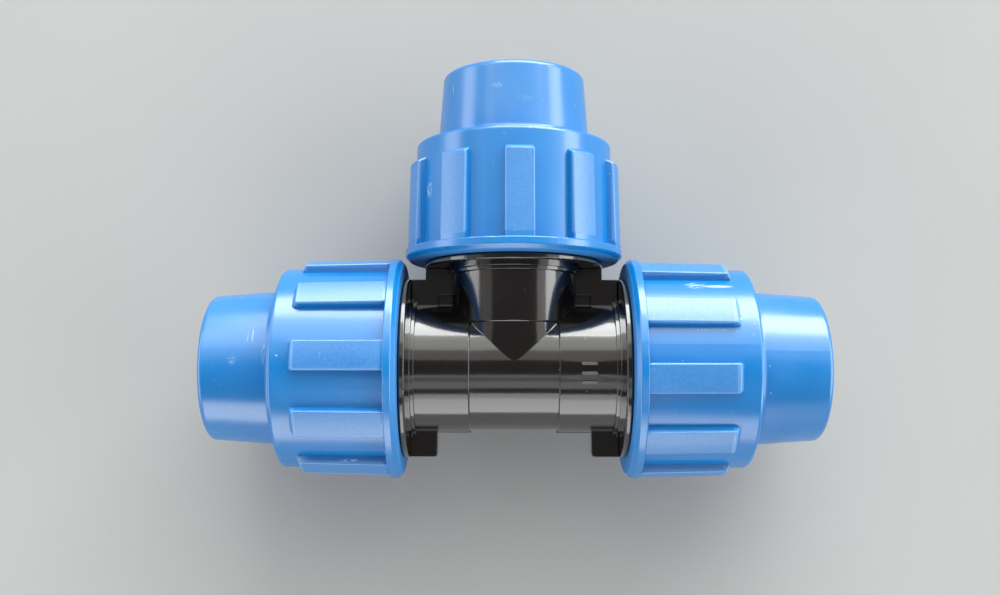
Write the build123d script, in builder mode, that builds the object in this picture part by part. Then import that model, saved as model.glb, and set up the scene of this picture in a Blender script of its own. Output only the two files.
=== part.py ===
"""Equal compression tee for 20 mm polyethylene pipe, three screwed ports on one moulded body.

The axes of the three ports cross at the origin. The run lies along X, the branch points to +Y
and +Z is up, so the tee lies flat on its three nut collars. Millimetres throughout.

Every port is the same, so each loose piece is drawn once about the Z axis, where Z is the
distance from the crossing, and is then placed on each port's own plane.
"""

from build123d import *

import os
from math import radians, tan
from typing import NamedTuple

os.makedirs("parts", exist_ok=True)

# Pipe and waterway
pipe_radius = 10.0
socket_clearance = 0.2
socket_radius = pipe_radius + socket_clearance
waterway_radius = 8.6
pipe_stop = 10.5  # the socket's floor, as a distance from the crossing

# Tee body
middle_barrel_radius = 12.1
middle_barrel_end = 8.4
middle_barrel_reach = 12.5  # how far each middle barrel runs on inside the outer one
crease_fillet = 0.3
outer_barrel_radius = 12.55
barrel_step_rounding = 0.35
branch_trim = 0.05  # the branch barrels are this much slimmer, which blunts the tip of the mitre
neck_steps = ((13.1, 18.65), (13.6, 19.35))  # radius and start of each step up to the flange
neck_rounding = 0.12
flange_radius = 17.55
flange_start = 20.0
flange_end = 21.21
flange_rounding = 0.35
mouth_end = 37.5
mouth_chamfer = 0.6
seal_seat = 26.5
seal_bore_radius = 13.45

# Grip lugs beside each flange
lug_reach = 17.4
lug_start = 14.6
lug_thickness = 4.4
lug_corner = 0.8
lug_edge_rounding = 0.2

# Thin web that fills each corner between the run and the branch, and the mould's parting line
web_reach = 17.0
web_thickness = 2.2
seam_height = 0.1
seam_width = 0.2

# Raised size marks, three plain bars across the top of the right barrel
mark_count = 3
mark_pitch = 1.8
mark_size = (3.0, 0.6)
mark_height = 0.25
mark_embed = 1.0  # how far each bar runs into the wall
mark_centre = (14.1, -1.3)

# Screw thread, trapezoidal and right-handed
thread_pitch = 4.0
thread_depth = 1.5
thread_crest_width = 1.35
thread_flank_angle = 15.0
thread_play = 0.35
thread_embed = 0.3  # how far each ridge runs into the wall it stands on
body_thread_root = 15.0
body_thread_span = (23.3, 36.3)
nut_thread_root = body_thread_root + thread_depth + thread_play
nut_thread_span = (22.9, 37.6)

# Nut
nut_back = 21.33
nut_back_radius = 20.5
collar_radius = 21.5
collar_span = (22.24, 23.63)
collar_back_rounding = 0.4
collar_front_rounding = 0.25
barrel_radius_at_collar = 19.6
barrel_radius_at_shoulder = 19.4
shoulder = 44.67
shoulder_rounding = 0.7
nose_root_radius = 15.11
nose_root_fillet = 1.6
nose_tip_radius = 14.12
nose_tip = 58.9
nose_tip_rounding = 1.1
nose_bore_radius = 10.6
nose_bore_start = 55.0
nose_lead = 0.5
cone_start = 42.3
cone_start_radius = 13.75
cone_angle = 12.0
cone_lip_rounding = 0.3
chamber_end_radius = 15.75
chamber_lead = 0.2

# Ribs round the nut
rib_count = 10
rib_width = 5.5
rib_front = 40.65
rib_radius_at_collar = 21.32
rib_radius_at_front = 20.92
rib_front_slope = 0.55  # the crest ends this much short of rib_front and the foot as far beyond it
rib_front_corner = 0.5
rib_rounding = 0.3
rib_embed = 0.6  # how far each rib runs into the wall
rib_lap = 0.4  # how far each rib starts inside the collar

# Split gripping ring
grip_ring_span = (40.1, 54.2)
grip_flange_radius = 15.0
grip_flange_end = 41.9
grip_rounding = 0.3
grip_bore_radius = 10.15
grip_play = 0.25
grip_slit = 3.0
tooth_count = 5
tooth_pitch = 1.6
tooth_depth = 0.6
first_tooth = 43.5
tooth_lean = 0.2  # the steep face of each tooth leans by this much, and its crest is as wide

# Thrust bush
bush_back = 29.9
bush_front = 39.6
bush_sleeve_radius = 13.2
bush_flange_radius = 14.3
bush_flange_start = 37.7
bush_bore_radius = 10.25
bush_rounding = 0.3

# O-ring
o_ring_section = 3.2
o_ring_bore_radius = 10.15
o_ring_back = 26.6


class Port(NamedTuple):
    """A port's name, the way it faces, how much longer its arm is than the nominal one, how much
    slimmer its barrels are, and how far a gap between its nut's ribs has turned from the top."""

    name: str
    outward: tuple
    extra: float
    trim: float
    nut_turn: float


LEFT = Port("left", (-1, 0, 0), 0.2, 0.0, -13.4)
RIGHT = Port("right", (1, 0, 0), 0.53, 0.0, -11.2)
BRANCH = Port("branch", (0, 1, 0), -0.36, branch_trim, -15.4)
PORTS = (LEFT, RIGHT, BRANCH)


def seat(port, extra=0.0, turn=0.0):
    """The port's own plane: z outwards along its axis, extra beyond the crossing, x up until turned."""
    axis = Axis((0, 0, 0), port.outward)
    upright = Vector(0, 0, 1)
    return Plane(axis.direction * extra, x_dir=upright.rotate(axis, turn), z_dir=axis.direction)


def mesh_turn(port):
    """Turn that puts the body's ridge midway between the turns of this port's nut ridge."""
    travel = body_thread_span[0] - nut_thread_span[0]
    return port.nut_turn + 360 * (travel / thread_pitch - 0.5)


def half_section(*corners):
    """Face beside the Z axis from (radius, height, rounding) corners, ready to revolve."""
    with BuildSketch(Plane.XZ) as face:
        with BuildLine():
            FilletPolyline(*[c[:2] for c in corners], radius=[c[2] for c in corners], close=True)
        make_face()
    return face.sketch


def thread_ridge(root_radius, span, inwards=False):
    """Helical ridge that stands on a wall of root_radius, on its inside when inwards."""
    side = -1 if inwards else 1
    lean = tan(radians(thread_flank_angle))
    crest_half = thread_crest_width / 2
    root_half = crest_half + (thread_depth + thread_embed) * lean
    with BuildPart() as ridge:
        with BuildLine() as path:
            Helix(thread_pitch, span[1] - span[0], root_radius, center=(0, 0, span[0]))
        with BuildSketch(Plane(path.line @ 0, x_dir=(side, 0, 0), z_dir=path.line % 0)):
            with BuildLine():
                Polyline(
                    (-thread_embed, -root_half),
                    (thread_depth, -crest_half),
                    (thread_depth, crest_half),
                    (-thread_embed, root_half),
                    close=True,
                )
            make_face()
        sweep(path=path.line, is_frenet=True)
    return ridge.part


def cone_radius(height):
    """Inner radius of the nut's clamping cone at a height."""
    return cone_start_radius - (height - cone_start) * tan(radians(cone_angle))


def arm_section(port):
    """Outside of one arm of the body, solid to the axis, from its outer barrel to its mouth."""
    steps = []
    previous = outer_barrel_radius - port.trim
    for radius, start in neck_steps:
        steps += [(previous, start + port.extra, 0), (radius, start + port.extra, neck_rounding)]
        previous = radius
    back = flange_start + port.extra
    front = flange_end + port.extra
    mouth = mouth_end + port.extra
    return half_section(
        (0, middle_barrel_end, 0),
        (outer_barrel_radius - port.trim, middle_barrel_end, barrel_step_rounding),
        *steps,
        (previous, back, 0),
        (flange_radius, back, flange_rounding),
        (flange_radius, front, flange_rounding),
        (body_thread_root, front, 0),
        (body_thread_root, mouth - mouth_chamfer, 0),
        (body_thread_root - mouth_chamfer, mouth, 0),
        (0, mouth, 0),
    )


def passage_section(port):
    """Inside of one arm: waterway, pipe socket and seal seat, with a chamfered mouth."""
    stop = pipe_stop + port.extra
    seat_end = seal_seat + port.extra
    mouth = mouth_end + port.extra
    return half_section(
        (0, 0, 0),
        (waterway_radius, 0, 0),
        (waterway_radius, stop, 0),
        (socket_radius, stop, 0),
        (socket_radius, seat_end, 0),
        (seal_bore_radius, seat_end, 0),
        (seal_bore_radius, mouth - mouth_chamfer, 0),
        (seal_bore_radius + 2 * mouth_chamfer, mouth + mouth_chamfer, 0),
        (0, mouth + mouth_chamfer, 0),
    )


# The middle barrels, mitred into each other with a small fillet along the crease
with BuildPart() as crossing:
    Cylinder(middle_barrel_radius, 2 * middle_barrel_reach, rotation=(0, 90, 0))
    with Locations(seat(BRANCH)):
        from_centre = (Align.CENTER, Align.CENTER, Align.MIN)
        Cylinder(middle_barrel_radius - BRANCH.trim, middle_barrel_reach, align=from_centre)
    fillet(crossing.edges().filter_by(GeomType.BSPLINE), crease_fillet)

with BuildPart() as lugs:
    with BuildSketch(Plane.YZ.offset(-lug_thickness / 2)) as lug_sketch:
        with Locations((0, (lug_start + flange_start) / 2)):
            Rectangle(2 * lug_reach, flange_start - lug_start)
        fillet(lug_sketch.vertices().group_by(Axis.Y)[0], lug_corner)
    extrude(amount=lug_thickness)
    flat_faces = lugs.faces().filter_by(Axis.X)
    fillet(flat_faces.edges().filter_by(Axis.Y), lug_edge_rounding)

with BuildPart() as seam:
    with BuildSketch(Plane.YZ.offset(-seam_width / 2)):
        with Locations((0, (middle_barrel_end + neck_steps[0][1]) / 2)):
            Rectangle(2 * (outer_barrel_radius + seam_height), neck_steps[0][1] - middle_barrel_end)
    extrude(amount=seam_width)

body_thread = thread_ridge(body_thread_root, body_thread_span)

with BuildPart() as tee_body:
    add(crossing.part)
    for port in PORTS:
        with Locations(seat(port)):
            add(revolve(arm_section(port), axis=Axis.Z, mode=Mode.PRIVATE))
            add(seam.part)
        with Locations(seat(port, port.extra)):
            add(lugs.part)
    with BuildSketch(Plane.XY.offset(-web_thickness / 2)):
        with Locations((0, web_reach / 2)):
            Rectangle(2 * web_reach, web_reach)
    extrude(amount=web_thickness)
    with BuildSketch(Plane.XY.offset(outer_barrel_radius - mark_embed)):
        with Locations(mark_centre):
            with GridLocations(0, mark_pitch, 1, mark_count):
                SlotOverall(*mark_size)
    extrude(amount=mark_embed + mark_height)
    for port in PORTS:
        with Locations(seat(port)):
            add(revolve(passage_section(port), axis=Axis.Z, mode=Mode.PRIVATE), mode=Mode.SUBTRACT)
    for port in PORTS:
        with Locations(seat(port, port.extra, mesh_turn(port))):
            add(body_thread)
tee_body.part.label = "tee_body"
export_step(tee_body.part, "parts/tee_body.step")

# Nut
nut_section = half_section(
    (nut_thread_root + chamber_lead, nut_back, 0),
    (nut_back_radius, nut_back, collar_back_rounding),
    (collar_radius, collar_span[0], collar_back_rounding),
    (collar_radius, collar_span[1], collar_front_rounding),
    (barrel_radius_at_collar, collar_span[1], 0),
    (barrel_radius_at_shoulder, shoulder, shoulder_rounding),
    (nose_root_radius, shoulder, nose_root_fillet),
    (nose_tip_radius, nose_tip, nose_tip_rounding),
    (nose_bore_radius + nose_lead, nose_tip, 0),
    (nose_bore_radius, nose_tip - nose_lead, 0),
    (nose_bore_radius, nose_bore_start, 0),
    (cone_radius(nose_bore_start), nose_bore_start, 0),
    (cone_start_radius, cone_start, cone_lip_rounding),
    (chamber_end_radius, cone_start, 0),
    (nut_thread_root, cone_start - nut_thread_root + chamber_end_radius, 0),
    (nut_thread_root, nut_back + chamber_lead, 0),
)

rib_inside = barrel_radius_at_shoulder - rib_embed
rib_back = collar_span[0] + rib_lap
rib_crest_end = rib_front - rib_front_slope
rib_foot_end = rib_front + rib_front_slope
with BuildPart() as ribs:
    rib_section = half_section(
        (rib_inside, rib_back, 0),
        (rib_radius_at_collar, rib_back, 0),
        (rib_radius_at_front, rib_crest_end, 0),
        (rib_inside, rib_foot_end, 0),
    )
    revolve(rib_section, axis=Axis.Z)
    with BuildSketch(Plane.XY.offset(rib_back)):
        with PolarLocations(barrel_radius_at_collar, rib_count, start_angle=180 / rib_count):
            Rectangle(2 * (rib_radius_at_collar - rib_inside), rib_width)
    extrude(amount=rib_foot_end - rib_back, mode=Mode.INTERSECT)
    short_edges = ribs.edges().filter_by(lambda edge: edge.length < rib_width / 2)
    fillet(short_edges.filter_by_position(Axis.Z, rib_crest_end, rib_foot_end), rib_front_corner)
    rib_crests = ribs.faces().filter_by(GeomType.CONE).sort_by(SortBy.AREA)[-rib_count:]
    fillet(rib_crests.edges().filter_by(lambda edge: edge.center().Z > rib_back + rib_lap), rib_rounding)

nut_thread = thread_ridge(nut_thread_root, nut_thread_span, inwards=True)

with BuildPart() as nut:
    revolve(nut_section, axis=Axis.Z)
    add(ribs.part)
    add(nut_thread)

# Split gripping ring, an outside cone to match the nut's and saw teeth inside
grip_section = half_section(
    (grip_bore_radius, grip_ring_span[0], 0),
    (grip_flange_radius, grip_ring_span[0], grip_rounding),
    (grip_flange_radius, grip_flange_end, grip_rounding),
    (cone_radius(grip_flange_end) - grip_play, grip_flange_end, 0),
    (cone_radius(grip_ring_span[1]) - grip_play, grip_ring_span[1], grip_rounding),
    (grip_bore_radius, grip_ring_span[1], 0),
)
with BuildPart() as split_ring:
    revolve(grip_section, axis=Axis.Z)
    slope_length = tooth_pitch - 2 * tooth_lean
    for tooth in range(tooth_count):
        root_height = first_tooth + tooth * tooth_pitch + tooth_lean
        tooth_gap = half_section(
            (grip_bore_radius - tooth_depth, root_height - 2 * tooth_lean, 0),
            (grip_bore_radius + tooth_depth, root_height, 0),
            (grip_bore_radius - tooth_depth, root_height + 2 * slope_length, 0),
        )
        revolve(tooth_gap, axis=Axis.Z, mode=Mode.SUBTRACT)
    with BuildSketch(Plane.XY.offset(grip_ring_span[0])):
        with Locations((grip_flange_radius, 0)):
            Rectangle(grip_flange_radius, grip_slit)
    extrude(amount=grip_ring_span[1] - grip_ring_span[0], mode=Mode.SUBTRACT)

# Thrust bush, a sleeve inside the mouth with a flange in front of it
bush_section = half_section(
    (bush_bore_radius, bush_back, 0),
    (bush_sleeve_radius, bush_back, bush_rounding),
    (bush_sleeve_radius, bush_flange_start, 0),
    (bush_flange_radius, bush_flange_start, 0),
    (bush_flange_radius, bush_front, bush_rounding),
    (bush_bore_radius, bush_front, bush_rounding),
)
with BuildPart() as thrust_bush:
    revolve(bush_section, axis=Axis.Z)

with BuildPart() as o_ring:
    with BuildSketch(Plane.XZ):
        with Locations((o_ring_bore_radius + o_ring_section / 2, o_ring_back + o_ring_section / 2)):
            Circle(o_ring_section / 2)
    revolve(axis=Axis.Z)

# Every port gets one of each loose piece
for port in PORTS:
    pieces = (
        ("nut", nut, seat(port, port.extra, port.nut_turn)),
        ("split_ring", split_ring, seat(port, port.extra)),
        ("thrust_bush", thrust_bush, seat(port, port.extra)),
        ("o_ring", o_ring, seat(port, port.extra)),
    )
    for kind, piece, place in pieces:
        with BuildPart(place) as placed:
            add(piece.part)
        placed.part.label = f"{port.name}_{kind}"
        export_step(placed.part, f"parts/{placed.part.label}.step")
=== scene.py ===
"""Looks for the compression tee: procedural materials, a pale floor, soft lights and the camera."""

import functools
import math
from typing import NamedTuple

import bmesh
import bpy
from mathutils import Euler, Matrix, Vector


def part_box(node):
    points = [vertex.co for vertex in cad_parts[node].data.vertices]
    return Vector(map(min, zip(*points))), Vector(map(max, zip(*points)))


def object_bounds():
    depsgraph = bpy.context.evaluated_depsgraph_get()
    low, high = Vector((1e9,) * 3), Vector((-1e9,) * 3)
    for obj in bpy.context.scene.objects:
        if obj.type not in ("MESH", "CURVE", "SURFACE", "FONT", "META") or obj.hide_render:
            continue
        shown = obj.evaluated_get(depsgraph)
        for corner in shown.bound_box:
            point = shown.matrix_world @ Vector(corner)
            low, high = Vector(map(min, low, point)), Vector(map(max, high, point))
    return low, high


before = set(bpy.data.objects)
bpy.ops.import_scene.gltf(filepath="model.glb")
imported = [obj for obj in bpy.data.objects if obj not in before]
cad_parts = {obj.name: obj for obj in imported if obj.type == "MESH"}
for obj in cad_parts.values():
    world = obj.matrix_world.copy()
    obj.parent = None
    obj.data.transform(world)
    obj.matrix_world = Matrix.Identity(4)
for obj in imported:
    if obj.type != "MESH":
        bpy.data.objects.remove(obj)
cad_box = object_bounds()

MM = 0.001
PORT_AXES = {"left": (-1, 0, 0), "right": (1, 0, 0), "branch": (0, 1, 0)}

# Facts of the parts that the materials follow, in millimetres. A span is where a feature starts and
# ends along its port's axis, counted from the crossing of the axes.
RIB_COUNT = 10
RIB_HALF_WIDTH = 2.75
CREST_RADIUS = 20.7
CREST_SPAN = (24.5, 40.0)
RIB_FRONT_SPAN = (39.9, 41.3)
NUT_BARREL_RADIUS = 19.6
NOSE_START = 45.0
SIZE_BARS_CENTRE = 14.1  # along the right barrel
SIZE_BARS_REACH = 2.0  # to each side of their centre
SIZE_BARS_FOOT = 12.62  # height at which they stand clear of the barrel

# Colours, linear. A pair is the two ends of a drift over the surface.
NUT_BLUES = (0.001, 0.146, 0.43, 1), (0.002, 0.176, 0.49, 1)
RUBBED_BLUE = (0.35, 0.42, 0.6, 1)
# Painted highlight that lightens the rib edges of the nuts.
EDGE_HIGHLIGHT_BLUE = (0.2, 0.42, 0.72, 1)
SCRATCHED_BLUE = (0.42, 0.56, 0.7, 1)
BODY_BLACKS = (0.003, 0.0028, 0.0027, 1), (0.005, 0.0044, 0.0041, 1)
# Colour of scratches and dust, and of the raised bars' tops, where it is partly a painted highlight.
SCRATCH_AND_SHEEN_BLACK = (0.3, 0.3, 0.29, 1)
RING_WHITE = (0.42, 0.42, 0.4)
BUSH_WHITE = (0.38, 0.385, 0.38)
WHITE_SHADING = 0.92  # how bright the darker patches of a white plastic are, against its colour
RUBBER_BLACKS = (0.006, 0.006, 0.006, 1), (0.015, 0.015, 0.0145, 1)
FLOOR_GREYS = (0.35, 0.36, 0.36, 1), (0.38, 0.39, 0.39, 1)
BACKDROP_PALE = (0.94, 0.96, 0.96, 1)
CEILING_DIM = (0.2, 0.188, 0.18, 1)

# Shapes of the small marks.
SPECK_CORE = 0.6  # share of a speck's radius that is solid
SCRATCH_CELLS = 0.16  # cells in the length, or the width, of one scratch
SCRATCH_FADE = (0.05, 0.16)  # distances from a scratch's middle, in cells, between which it fades
SCUFF_CORE = 0.45  # share of a scuff's reach that is solid
STREAK_LEVELS = (0.42, 0.66)  # noise levels at which a streak starts to show and is full
EDGE_HIGHLIGHT_SHARE = 0.3  # how strongly the painted highlight along the rib edges shows


class Scuff(NamedTuple):
    """A worn or scratched patch: its centre and half extents in millimetres, how strongly it shows, and
    the size of the streaks in it. Without streaks it is one solid mark."""

    centre: tuple
    reach: tuple
    strength: float = 1.0
    streaks: tuple = None


SCUFFS = {
    "left": (
        Scuff((-48.7, 5.6, 13.8), (0.14, 1.9, 1.6), 0.6),
        Scuff((-49.6, 5.2, 13.9), (0.1, 1.3, 1.2), 0.45),
        Scuff((-52.4, 1.0, 14.6), (1.1, 1.3, 0.8), 0.3, (0.9, 0.22, 0.22)),
        Scuff((-46.5, 2.6, 14.9), (0.5, 3.4, 0.8), 0.35, (0.12, 1.4, 0.5)),
        Scuff((-31.0, -17.6, 10.4), (2.2, 0.5, 0.9), 0.7, (0.5, 0.3, 0.4)),
        Scuff((-43.1, 1.6, 19.4), (0.2, 0.2, 1.5), 0.8),
    ),
    "right": (
        Scuff((34.2, 15.2, 12.3), (2.6, 1.2, 1.4), 0.8, (2.2, 0.22, 0.25)),
        Scuff((38.2, 15.0, 12.4), (3.6, 0.5, 0.6), 0.65),
        Scuff((41.4, 8.5, 17.6), (0.25, 0.25, 1.5), 0.9),
        Scuff((47.1, 0.0, 15.9), (0.25, 0.25, 1.5), 0.9),
        Scuff((47.4, -5.0, 15.1), (0.3, 0.3, 1.5), 0.9),
        Scuff((30.7, 18.2, 7.1), (1.3, 0.5, 0.6), 0.8, (0.35, 0.3, 0.3)),
        Scuff((35.8, 6.4, 18.4), (4.2, 0.3, 0.5), 0.45, (0.4, 0.25, 0.4)),
    ),
    "branch": (
        Scuff((-16.2, 33.7, 10.8), (0.9, 2.1, 1.2), 0.85, (0.25, 0.8, 0.3)),
        Scuff((-11.9, 54.3, 8.4), (0.1, 1.5, 0.5), 0.5),
        Scuff((-3.4, 53.3, 14.1), (1.6, 0.8, 0.6), 0.3, (0.2, 0.4, 0.3)),
        Scuff((2.4, 50.8, 14.6), (2.6, 0.8, 0.6), 0.15, (0.15, 0.5, 0.3)),
    ),
}


# ---------------------------------------------------------------- node helpers

def new_material(name):
    """An empty node material with its output and a Principled shader joined."""
    material = bpy.data.materials.new(name)
    material.use_nodes = True
    tree = material.node_tree
    tree.nodes.clear()
    output = tree.nodes.new("ShaderNodeOutputMaterial")
    shader = tree.nodes.new("ShaderNodeBsdfPrincipled")
    tree.links.new(shader.outputs["BSDF"], output.inputs["Surface"])
    return material, tree, shader


def put(tree, socket, value):
    """Link value to the socket if it is a socket, otherwise store it there."""
    if isinstance(value, bpy.types.NodeSocket):
        tree.links.new(value, socket)
    else:
        socket.default_value = value


def node(tree, kind, inputs=None, **settings):
    """Add a node, set its properties, and link or store its inputs."""
    made = tree.nodes.new("ShaderNode" + kind)
    for name, value in settings.items():
        setattr(made, name, value)
    for key, value in (inputs or {}).items():
        put(tree, made.inputs[key], value)
    return made


def maths(tree, operation, *values):
    return node(tree, "Math", dict(enumerate(values)), operation=operation).outputs[0]


def vector_maths(tree, operation, a, b):
    return node(tree, "VectorMath", {0: a, 1: b}, operation=operation).outputs["Vector"]


def scaled(tree, vector, factor):
    return node(tree, "VectorMath", {0: vector, "Scale": factor}, operation="SCALE").outputs["Vector"]


def dot(tree, a, b):
    return node(tree, "VectorMath", {0: a, 1: b}, operation="DOT_PRODUCT").outputs["Value"]


def length(tree, vector):
    return node(tree, "VectorMath", {0: vector}, operation="LENGTH").outputs["Value"]


def coordinate(tree, vector, letter):
    return node(tree, "SeparateXYZ", {"Vector": vector}).outputs[letter]


def ramp(tree, value, low, high, start=0.0, end=1.0):
    """Goes smoothly from start, at low and below, to end, at high and above."""
    inputs = {"Value": value, "From Min": low, "From Max": high, "To Min": start, "To Max": end}
    return node(tree, "MapRange", inputs, interpolation_type="SMOOTHSTEP").outputs["Result"]


def mix_colour(tree, factor, a, b):
    """From colour a to colour b."""
    made = node(tree, "Mix", {"Factor": factor}, data_type="RGBA")
    # The node has sockets for every type of data. Inputs 6 and 7 and output 2 are those for colour.
    put(tree, made.inputs[6], a)
    put(tree, made.inputs[7], b)
    return made.outputs[2]


def highest(tree, masks):
    """Union of masks."""
    return functools.reduce(lambda a, b: maths(tree, "MAXIMUM", a, b), masks)


def product(tree, masks):
    """Where all the masks meet."""
    return functools.reduce(lambda a, b: maths(tree, "MULTIPLY", a, b), masks)


def total(tree, values):
    return functools.reduce(lambda a, b: maths(tree, "ADD", a, b), values)


def between(tree, value, low, high):
    """1 from low to high and 0 elsewhere."""
    above = maths(tree, "GREATER_THAN", value, low)
    below = maths(tree, "LESS_THAN", value, high)
    return product(tree, [above, below])


def distance_to(tree, value, target):
    return maths(tree, "ABSOLUTE", maths(tree, "SUBTRACT", value, target))


def millimetres(tree):
    """The piece's own coordinates in millimetres."""
    return scaled(tree, node(tree, "TexCoord").outputs["Object"], 1 / MM)


def noise(tree, place, size, detail=2.0, roughness=0.5):
    """Noise with features of about size millimetres, or of size along each axis."""
    if isinstance(size, tuple):
        place = vector_maths(tree, "DIVIDE", place, size)
        size = 1.0
    inputs = {"Vector": place, "Scale": 1 / size, "Detail": detail, "Roughness": roughness}
    return node(tree, "TexNoise", inputs).outputs["Fac"]


def specks(tree, place, spacing, radius, share):
    """Scattered round specks: 1 inside a speck. Only a share of the cells hold one."""
    cells = node(tree, "TexVoronoi", {"Vector": place, "Scale": 1 / spacing, "Randomness": 1.0})
    distance = maths(tree, "MULTIPLY", cells.outputs["Distance"], spacing)
    inside = ramp(tree, distance, radius * SPECK_CORE, radius, start=1.0, end=0.0)
    pick = node(tree, "SeparateColor", {"Color": cells.outputs["Color"]}).outputs["Red"]
    return product(tree, [inside, maths(tree, "LESS_THAN", pick, share)])


def scratches(tree, place, turn, long, wide, share):
    """Fine straight scratches, long and wide in millimetres, turned by turn radians. Only a share of
    the cells hold one."""
    turned = node(tree, "Mapping", {"Vector": place, "Rotation": turn}, vector_type="POINT")
    squeezed = vector_maths(tree, "DIVIDE", turned.outputs["Vector"], (long, wide, wide))
    cells = node(tree, "TexVoronoi", {"Vector": squeezed, "Scale": SCRATCH_CELLS, "Randomness": 1.0})
    line = ramp(tree, cells.outputs["Distance"], *SCRATCH_FADE, start=1.0, end=0.0)
    pick = node(tree, "SeparateColor", {"Color": cells.outputs["Color"]}).outputs["Green"]
    return product(tree, [line, maths(tree, "LESS_THAN", pick, share)])


def scuffed(tree, place, scuff):
    """Mask of one scuff."""
    offset = vector_maths(tree, "SUBTRACT", place, scuff.centre)
    distance = length(tree, vector_maths(tree, "DIVIDE", offset, scuff.reach))
    near = ramp(tree, distance, SCUFF_CORE, 1.0, start=scuff.strength, end=0.0)
    if scuff.streaks is None:
        return near
    return product(tree, [near, ramp(tree, noise(tree, place, scuff.streaks), *STREAK_LEVELS)])


def bump(tree, height, strength, depth, normal=None):
    """Normal from a height, where depth is in millimetres, on top of another normal."""
    inputs = {"Height": height, "Strength": strength, "Distance": depth * MM}
    if normal is not None:
        inputs["Normal"] = normal
    return node(tree, "Bump", inputs).outputs["Normal"]


# ---------------------------------------------------------------- materials

def side_of(axis):
    """The level direction across a port's axis."""
    return Vector(axis).cross((0, 0, 1))


def rib_angle(port):
    """Angle of a nut's ribs about its axis, from the level side towards +Z, found from the crests."""
    axis = Vector(PORT_AXES[port])
    side = side_of(axis)
    heading = Vector((0, 0))
    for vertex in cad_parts[f"{port}_nut"].data.vertices:
        place = vertex.co / MM
        across = place.dot(side)
        on_crest = math.hypot(across, place.z) > CREST_RADIUS
        if on_crest and CREST_SPAN[0] < place.dot(axis) < CREST_SPAN[1]:
            angle = RIB_COUNT * math.atan2(place.z, across)
            heading += Vector((math.cos(angle), math.sin(angle)))
    return math.atan2(heading.y, heading.x) / RIB_COUNT


def rib_edge_highlight(tree, place, port, radius, along):
    """Mask of the painted highlight along the ribs' edges: the long edges of each crest and the sloping
    front.
    """
    across = dot(tree, place, side_of(PORT_AXES[port]))
    angle = maths(tree, "ARCTAN2", coordinate(tree, place, "Z"), across)
    half_pitch = math.pi / RIB_COUNT
    turned = maths(tree, "SUBTRACT", angle, rib_angle(port))
    from_rib = maths(tree, "WRAP", turned, half_pitch, -half_pitch)
    offset = maths(tree, "MULTIPLY", maths(tree, "ABSOLUTE", maths(tree, "SINE", from_rib)), radius)
    edge = product(tree, [
        ramp(tree, distance_to(tree, offset, RIB_HALF_WIDTH), 0.05, 0.35, start=1.0, end=0.0),
        ramp(tree, radius, CREST_RADIUS - 0.4, CREST_RADIUS - 0.1),
        maths(tree, "GREATER_THAN", along, CREST_SPAN[0]),
    ])
    front = product(tree, [
        between(tree, along, *RIB_FRONT_SPAN),
        ramp(tree, radius, NUT_BARREL_RADIUS + 0.1, NUT_BARREL_RADIUS + 0.5),
    ])
    return highest(tree, [edge, front])


def blue_plastic(name, port):
    """Moulded blue polypropylene of a port's nut, with mottled ribs, a painted highlight along the rib
    edges and a matt back.
    """
    axis = Vector(PORT_AXES[port])
    back = min(axis.dot(corner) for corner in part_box(f"{port}_nut")) / MM
    material, tree, shader = new_material(name)
    place = millimetres(tree)
    along = dot(tree, place, axis)
    radius = length(tree, vector_maths(tree, "SUBTRACT", place, scaled(tree, axis, along)))

    crest = product(tree, [
        ramp(tree, radius, CREST_RADIUS - 0.2, CREST_RADIUS + 0.05),
        ramp(tree, along, CREST_SPAN[0] - 0.5, CREST_SPAN[0]),
    ])
    nose = ramp(tree, along, NOSE_START, NOSE_START + 2.0)
    cloud = noise(tree, place, size=14.0, detail=3.0)
    mottle = noise(tree, place, size=0.5, detail=3.0, roughness=0.6)
    rubbed = total(tree, [
        product(tree, [crest, ramp(tree, mottle, 0.38, 0.62, start=0.04, end=0.11)]),
        product(tree, [nose, ramp(tree, cloud, 0.3, 0.7, start=0.01, end=0.04)]),
    ])
    edges = rib_edge_highlight(tree, place, port, radius, along)

    dust = specks(tree, place, spacing=3.1, radius=0.17, share=0.2)
    grit = specks(tree, place, spacing=1.3, radius=0.08, share=0.12)
    lines = scratches(tree, place, turn=(0.3, 0.5, 0.9), long=5.0, wide=0.09, share=0.05)
    fine = ramp(tree, highest(tree, [dust, grit, lines]), 0.0, 1.0, end=0.55)
    marks = highest(tree, [fine] + [scuffed(tree, place, scuff) for scuff in SCUFFS[port]])

    base = mix_colour(tree, cloud, *NUT_BLUES)
    base = mix_colour(tree, rubbed, base, RUBBED_BLUE)
    # Painted highlight: the rib edges are lightened towards a pale blue.
    base = mix_colour(tree, maths(tree, "MULTIPLY", edges, EDGE_HIGHLIGHT_SHARE), base, EDGE_HIGHLIGHT_BLUE)
    put(tree, shader.inputs["Base Color"], mix_colour(tree, marks, base, SCRATCHED_BLUE))

    rough = total(tree, [
        ramp(tree, cloud, 0.3, 0.7, start=0.22, end=0.27),
        ramp(tree, crest, 0.0, 1.0, end=0.12),
        ramp(tree, marks, 0.0, 1.0, end=0.2),
        ramp(tree, along, back + 0.05, back + 0.3, start=0.45, end=0.0),
    ])
    put(tree, shader.inputs["Roughness"], rough)

    normal = bump(tree, noise(tree, place, size=3.0), strength=0.1, depth=0.05)
    normal = bump(tree, product(tree, [mottle, crest]), strength=0.18, depth=0.03, normal=normal)
    normal = bump(tree, noise(tree, place, size=0.35), strength=0.1, depth=0.02, normal=normal)
    normal = bump(tree, marks, strength=0.4, depth=0.03, normal=normal)
    put(tree, shader.inputs["Normal"], normal)
    shader.inputs["Specular IOR Level"].default_value = 1.0
    return material


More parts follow.
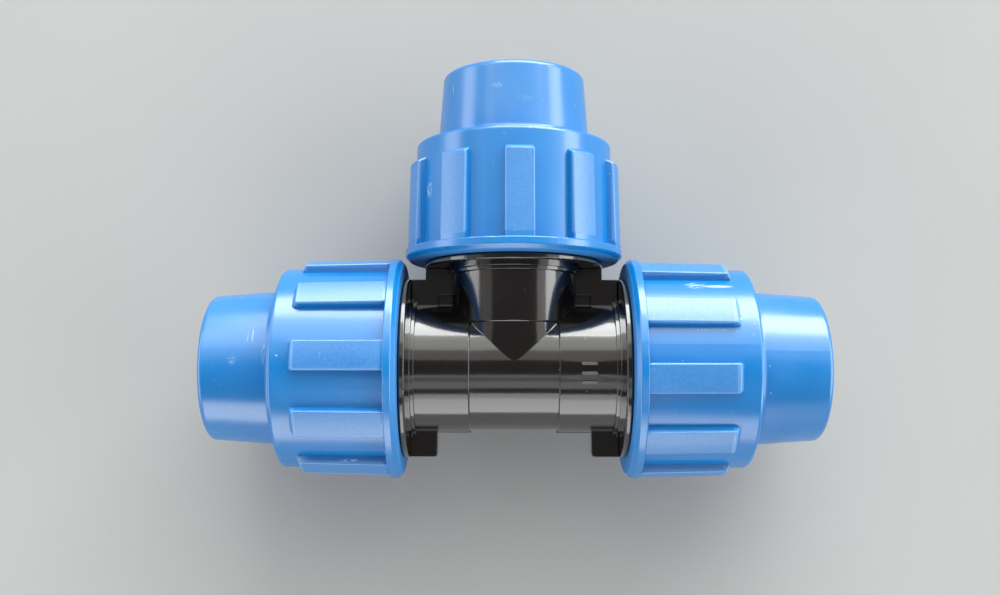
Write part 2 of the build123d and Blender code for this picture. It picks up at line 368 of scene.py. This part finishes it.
def size_bars(tree, place):
    """Mask of the tops of the three raised bars on the right barrel."""
    from_centre = distance_to(tree, coordinate(tree, place, "X"), SIZE_BARS_CENTRE)
    return product(tree, [
        maths(tree, "LESS_THAN", from_centre, SIZE_BARS_REACH),
        ramp(tree, coordinate(tree, place, "Z"), SIZE_BARS_FOOT, SIZE_BARS_FOOT + 0.08),
    ])


def black_plastic(name):
    """Glossy black polypropylene of the tee body, with the tops of its raised bars lightened, partly as
    wear and partly as a painted highlight.
    """
    material, tree, shader = new_material(name)
    place = millimetres(tree)
    cloud = noise(tree, place, size=9.0, detail=3.0)
    dust = specks(tree, place, spacing=2.6, radius=0.12, share=0.25)
    grit = specks(tree, place, spacing=1.1, radius=0.06, share=0.14)
    lines = scratches(tree, place, turn=(0.5, 0.2, 1.2), long=4.0, wide=0.07, share=0.04)
    patchy = ramp(tree, noise(tree, place, size=0.5), 0.2, 0.6, start=0.5, end=0.9)
    # The raised bars' tops are lightened partly as wear and partly as a painted highlight for the light
    # their edges catch.
    marks = highest(tree, [dust, grit, lines, product(tree, [size_bars(tree, place), patchy])])

    base = mix_colour(tree, cloud, *BODY_BLACKS)
    base = mix_colour(tree, ramp(tree, marks, 0.0, 1.0, end=0.35), base, SCRATCH_AND_SHEEN_BLACK)
    put(tree, shader.inputs["Base Color"], base)

    rough = total(tree, [
        ramp(tree, cloud, 0.3, 0.7, start=0.16, end=0.2),
        ramp(tree, marks, 0.0, 1.0, end=0.3),
    ])
    put(tree, shader.inputs["Roughness"], rough)

    normal = bump(tree, noise(tree, place, size=2.4), strength=0.12, depth=0.05)
    normal = bump(tree, noise(tree, place, size=0.28), strength=0.3, depth=0.02, normal=normal)
    normal = bump(tree, marks, strength=0.3, depth=0.03, normal=normal)
    put(tree, shader.inputs["Normal"], normal)
    put(tree, shader.inputs["Coat Normal"], normal)
    shader.inputs["Coat Weight"].default_value = 1.0
    shader.inputs["Coat Roughness"].default_value = 0.05
    return material


def white_plastic(name, shade, smoothest):
    """White engineering plastic with faint mottling. Its roughness starts at smoothest."""
    material, tree, shader = new_material(name)
    place = millimetres(tree)
    cloud = noise(tree, place, size=5.0, detail=3.0)
    darker = tuple(WHITE_SHADING * channel for channel in shade)
    put(tree, shader.inputs["Base Color"], mix_colour(tree, cloud, darker + (1,), shade + (1,)))
    rough = ramp(tree, cloud, 0.0, 1.0, start=smoothest, end=smoothest + 0.12)
    put(tree, shader.inputs["Roughness"], rough)
    normal = bump(tree, noise(tree, place, size=0.4), strength=0.1, depth=0.02)
    put(tree, shader.inputs["Normal"], normal)
    return material


def black_rubber(name):
    """Nitrile rubber with a fine matt skin."""
    material, tree, shader = new_material(name)
    place = millimetres(tree)
    grain = noise(tree, place, size=0.25, detail=3.0, roughness=0.7)
    put(tree, shader.inputs["Base Color"], mix_colour(tree, grain, *RUBBER_BLACKS))
    put(tree, shader.inputs["Roughness"], ramp(tree, grain, 0.0, 1.0, start=0.45, end=0.65))
    put(tree, shader.inputs["Normal"], bump(tree, grain, strength=0.2, depth=0.02))
    return material


def floor_paint(name):
    """Pale matt tabletop."""
    material, tree, shader = new_material(name)
    place = millimetres(tree)
    cloud = noise(tree, place, size=60.0, detail=3.0)
    put(tree, shader.inputs["Base Color"], mix_colour(tree, cloud, *FLOOR_GREYS))
    normal = bump(tree, noise(tree, place, size=1.2), strength=0.05, depth=0.05)
    put(tree, shader.inputs["Normal"], normal)
    shader.inputs["Roughness"].default_value = 0.8
    shader.inputs["Specular IOR Level"].default_value = 0.1
    return material


def dress(name, material):
    """Give a CAD node its material."""
    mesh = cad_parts[name].data
    mesh.materials.clear()
    mesh.materials.append(material)


dress("tee_body", black_plastic("body_black"))
ring_white = white_plastic("ring_white", RING_WHITE, smoothest=0.35)
bush_white = white_plastic("bush_white", BUSH_WHITE, smoothest=0.4)
rubber = black_rubber("seal_rubber")
for port in PORT_AXES:
    dress(f"{port}_nut", blue_plastic(f"{port}_nut_blue", port))
    dress(f"{port}_split_ring", ring_white)
    dress(f"{port}_thrust_bush", bush_white)
    dress(f"{port}_o_ring", rubber)


# ---------------------------------------------------------------- stage, lights and camera

class Panel(NamedTuple):
    """A soft light: the heading it stands at, in degrees from +X towards +Y, the elevations that it
    covers, in degrees, how far it spreads to each side, in degrees, its radiance and its colour."""

    name: str
    heading: float
    low: float
    high: float
    spread: float
    radiance: float
    colour: tuple


PANEL_DISTANCE = 3.0
PANELS = (
    Panel("back_window", 75, 3, 20, 32, 9.5, (0.98, 1.0, 1.0)),
    Panel("back_window_top", 75, 20, 33, 32, 9.0, (0.98, 1.0, 1.0)),
    Panel("back_wall", 90, 30, 41, 40, 2.8, (1.0, 1.0, 1.0)),
    Panel("back_wall_top", 90, 41, 54, 40, 2.5, (1.0, 1.0, 0.93)),
    Panel("back_ceiling_edge", 90, 54, 60, 40, 2.2, (1.0, 1.0, 0.97)),
    Panel("back_ceiling", 90, 60, 78, 40, 0.8, (1.0, 0.97, 0.94)),
    Panel("front_ceiling_far", -90, 71, 76, 11, 1.2, (0.97, 0.95, 1.0)),
    Panel("front_ceiling_middle", -90, 64, 71, 11, 0.55, (0.97, 0.95, 1.0)),
    Panel("front_ceiling", -90, 51, 64, 11, 1.2, (0.97, 0.95, 1.0)),
    Panel("front_wall_top", -90, 32, 41, 9, 2.3, (1.0, 0.98, 1.0)),
    Panel("front_wall", -98, -1.5, 32, 25, 3.0, (1.0, 0.98, 0.98)),
    Panel("right_window", 0, 9, 31, 30, 4.6, (1.0, 1.0, 1.0)),
    Panel("right_wall", 0, 33, 48, 34, 1.2, (1.0, 0.97, 0.93)),
    Panel("left_wall", 180, 2, 24, 40, 2.8, (0.96, 0.95, 1.0)),
    Panel("left_ceiling", 180, 32, 50, 34, 0.5, (1.0, 0.95, 0.88)),
)

# The backdrop gives way to the room between these heights on a unit sphere.
BACKDROP_EDGE = (0.42, 0.6)
ROOM_LIGHT = 0.7

FLOOR_RADIUS = 0.95
FLOOR_SIDES = 256

CAMERA_PLACE = (-2.42 * MM, -6.95 * MM, 217.45 * MM)
CAMERA_TURN = (0.0963, 0.0012, 0.0016)
SENSOR_WIDTH = 36.0
LENS = 39.46
CLIP = (0.01, 20.0)


def make_floor():
    """A round tabletop that the tee lies on."""
    form = bmesh.new()
    bmesh.ops.create_circle(
        form,
        cap_ends=True,
        segments=FLOOR_SIDES,
        radius=FLOOR_RADIUS,
        matrix=Matrix.Translation((0, 0, cad_box[0].z)),
    )
    mesh = bpy.data.meshes.new("floor")
    form.to_mesh(mesh)
    form.free()
    mesh.materials.append(floor_paint("floor_paint"))
    floor = bpy.data.objects.new("floor", mesh)
    bpy.context.scene.collection.objects.link(floor)


def make_panel(panel):
    """Rectangular light that faces the origin."""
    light = bpy.data.lights.new(panel.name, "AREA")
    light.shape = "RECTANGLE"
    light.size = 2 * PANEL_DISTANCE * math.tan(math.radians(panel.spread))
    light.size_y = 2 * PANEL_DISTANCE * math.tan(math.radians(panel.high - panel.low) / 2)
    # Each square metre of a flat light sends out pi times its radiance.
    light.energy = panel.radiance * math.pi * light.size * light.size_y
    light.color = panel.colour
    holder = bpy.data.objects.new(panel.name, light)
    heading = math.radians(panel.heading)
    elevation = math.radians(panel.low + panel.high) / 2
    level = math.cos(elevation)
    towards = Vector((math.cos(heading) * level, math.sin(heading) * level, math.sin(elevation)))
    holder.location = towards * PANEL_DISTANCE
    holder.rotation_mode = "QUATERNION"
    holder.rotation_quaternion = towards.to_track_quat("Z", "Y")
    holder.visible_camera = False
    bpy.context.scene.collection.objects.link(holder)


def make_room():
    """A dim warm room above, and a pale backdrop round the horizon and below it."""
    world = bpy.data.worlds.new("room")
    world.use_nodes = True
    tree = world.node_tree
    rise = coordinate(tree, node(tree, "TexCoord").outputs["Generated"], "Z")
    above = ramp(tree, rise, *BACKDROP_EDGE)
    background = tree.nodes["Background"]
    put(tree, background.inputs["Color"], mix_colour(tree, above, BACKDROP_PALE, CEILING_DIM))
    background.inputs["Strength"].default_value = ROOM_LIGHT
    bpy.context.scene.world = world
    bpy.context.scene.view_settings.view_transform = "Standard"


def make_camera():
    """Almost straight above the tee, a little on its front side."""
    data = bpy.data.cameras.new("camera")
    data.sensor_width = SENSOR_WIDTH
    data.lens = LENS
    data.clip_start, data.clip_end = CLIP
    camera = bpy.data.objects.new("camera", data)
    camera.location = CAMERA_PLACE
    camera.rotation_euler = Euler(CAMERA_TURN)
    bpy.context.scene.collection.objects.link(camera)
    bpy.context.scene.camera = camera


make_camera()
make_floor()
make_room()
for panel in PANELS:
    make_panel(panel)
